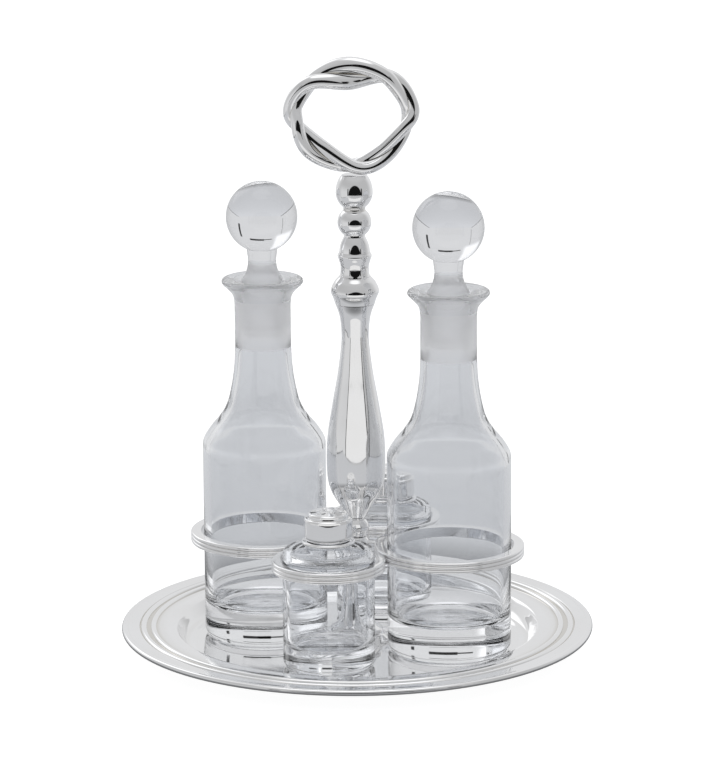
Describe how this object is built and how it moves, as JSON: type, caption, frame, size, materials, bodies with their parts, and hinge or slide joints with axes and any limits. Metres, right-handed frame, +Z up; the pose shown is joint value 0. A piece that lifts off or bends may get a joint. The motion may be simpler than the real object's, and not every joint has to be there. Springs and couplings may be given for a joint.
{
  "type": "cruet set",
  "caption": "Plated tray with a turned post and twisted ring handle, holding stoppered glass bottles and glass shakers in reeded rings.",
  "frame": {"origin": "centre of the tray's flat underside, on the table", "axes": "+Z up along the post, +X through the right bottle, +Y through the back shaker"},
  "size_m": [0.21, 0.21, 0.2649],
  "materials": {
    "silver_plate": "polished silver plate",
    "steel": "turned steel fixings",
    "clear_glass": "clear glass, ground inside the bottle necks and on the stopper shanks"
  },
  "bodies": {
    "stand": {"tray": "silver_plate", "tray_washer": "steel", "tray_nut": "steel", "tie_rod": "steel", "post_foot": "silver_plate", "ring_bracket": "silver_plate", "post_bead": "silver_plate", "baluster": "silver_plate", "baluster_collar": "silver_plate", "post_acorn": "silver_plate", "handle_stem": "silver_plate", "handle_ring": "silver_plate", "ring_left": "silver_plate", "ring_right": "silver_plate", "ring_front": "silver_plate", "ring_back": "silver_plate"},
    "bottle_left_body": {"bottle_left": "clear_glass"},
    "bottle_right_body": {"bottle_right": "clear_glass"},
    "stopper_left_body": {"stopper_left": "clear_glass"},
    "stopper_right_body": {"stopper_right": "clear_glass"},
    "shaker_front_body": {"shaker_jar_front": "clear_glass", "neck_collar_front": "silver_plate"},
    "shaker_back_body": {"shaker_jar_back": "clear_glass", "neck_collar_back": "silver_plate"},
    "cap_front_body": {"shaker_cap_front": "silver_plate"},
    "cap_back_body": {"shaker_cap_back": "silver_plate"}
  },
  "joints": [
    {"name": "bottle_left_lift", "type": "slide", "parent": "stand", "child": "bottle_left_body", "axis": [0, 0, 1], "range_m": [0, 0.065]},
    {"name": "stopper_left_pull", "type": "slide", "parent": "bottle_left_body", "child": "stopper_left_body", "axis": [0, 0, 1], "range_m": [0, 0.04]},
    {"name": "bottle_right_lift", "type": "slide", "parent": "stand", "child": "bottle_right_body", "axis": [0, 0, 1], "range_m": [0, 0.065]},
    {"name": "stopper_right_pull", "type": "slide", "parent": "bottle_right_body", "child": "stopper_right_body", "axis": [0, 0, 1], "range_m": [0, 0.04]},
    {"name": "shaker_front_lift", "type": "slide", "parent": "stand", "child": "shaker_front_body", "axis": [0, 0, 1], "range_m": [0, 0.065]},
    {"name": "cap_front_lift", "type": "slide", "parent": "shaker_front_body", "child": "cap_front_body", "axis": [0, 0, 1], "range_m": [0, 0.02]},
    {"name": "shaker_back_lift", "type": "slide", "parent": "stand", "child": "shaker_back_body", "axis": [0, 0, 1], "range_m": [0, 0.065]},
    {"name": "cap_back_lift", "type": "slide", "parent": "shaker_back_body", "child": "cap_back_body", "axis": [0, 0, 1], "range_m": [0, 0.02]}
  ]
}
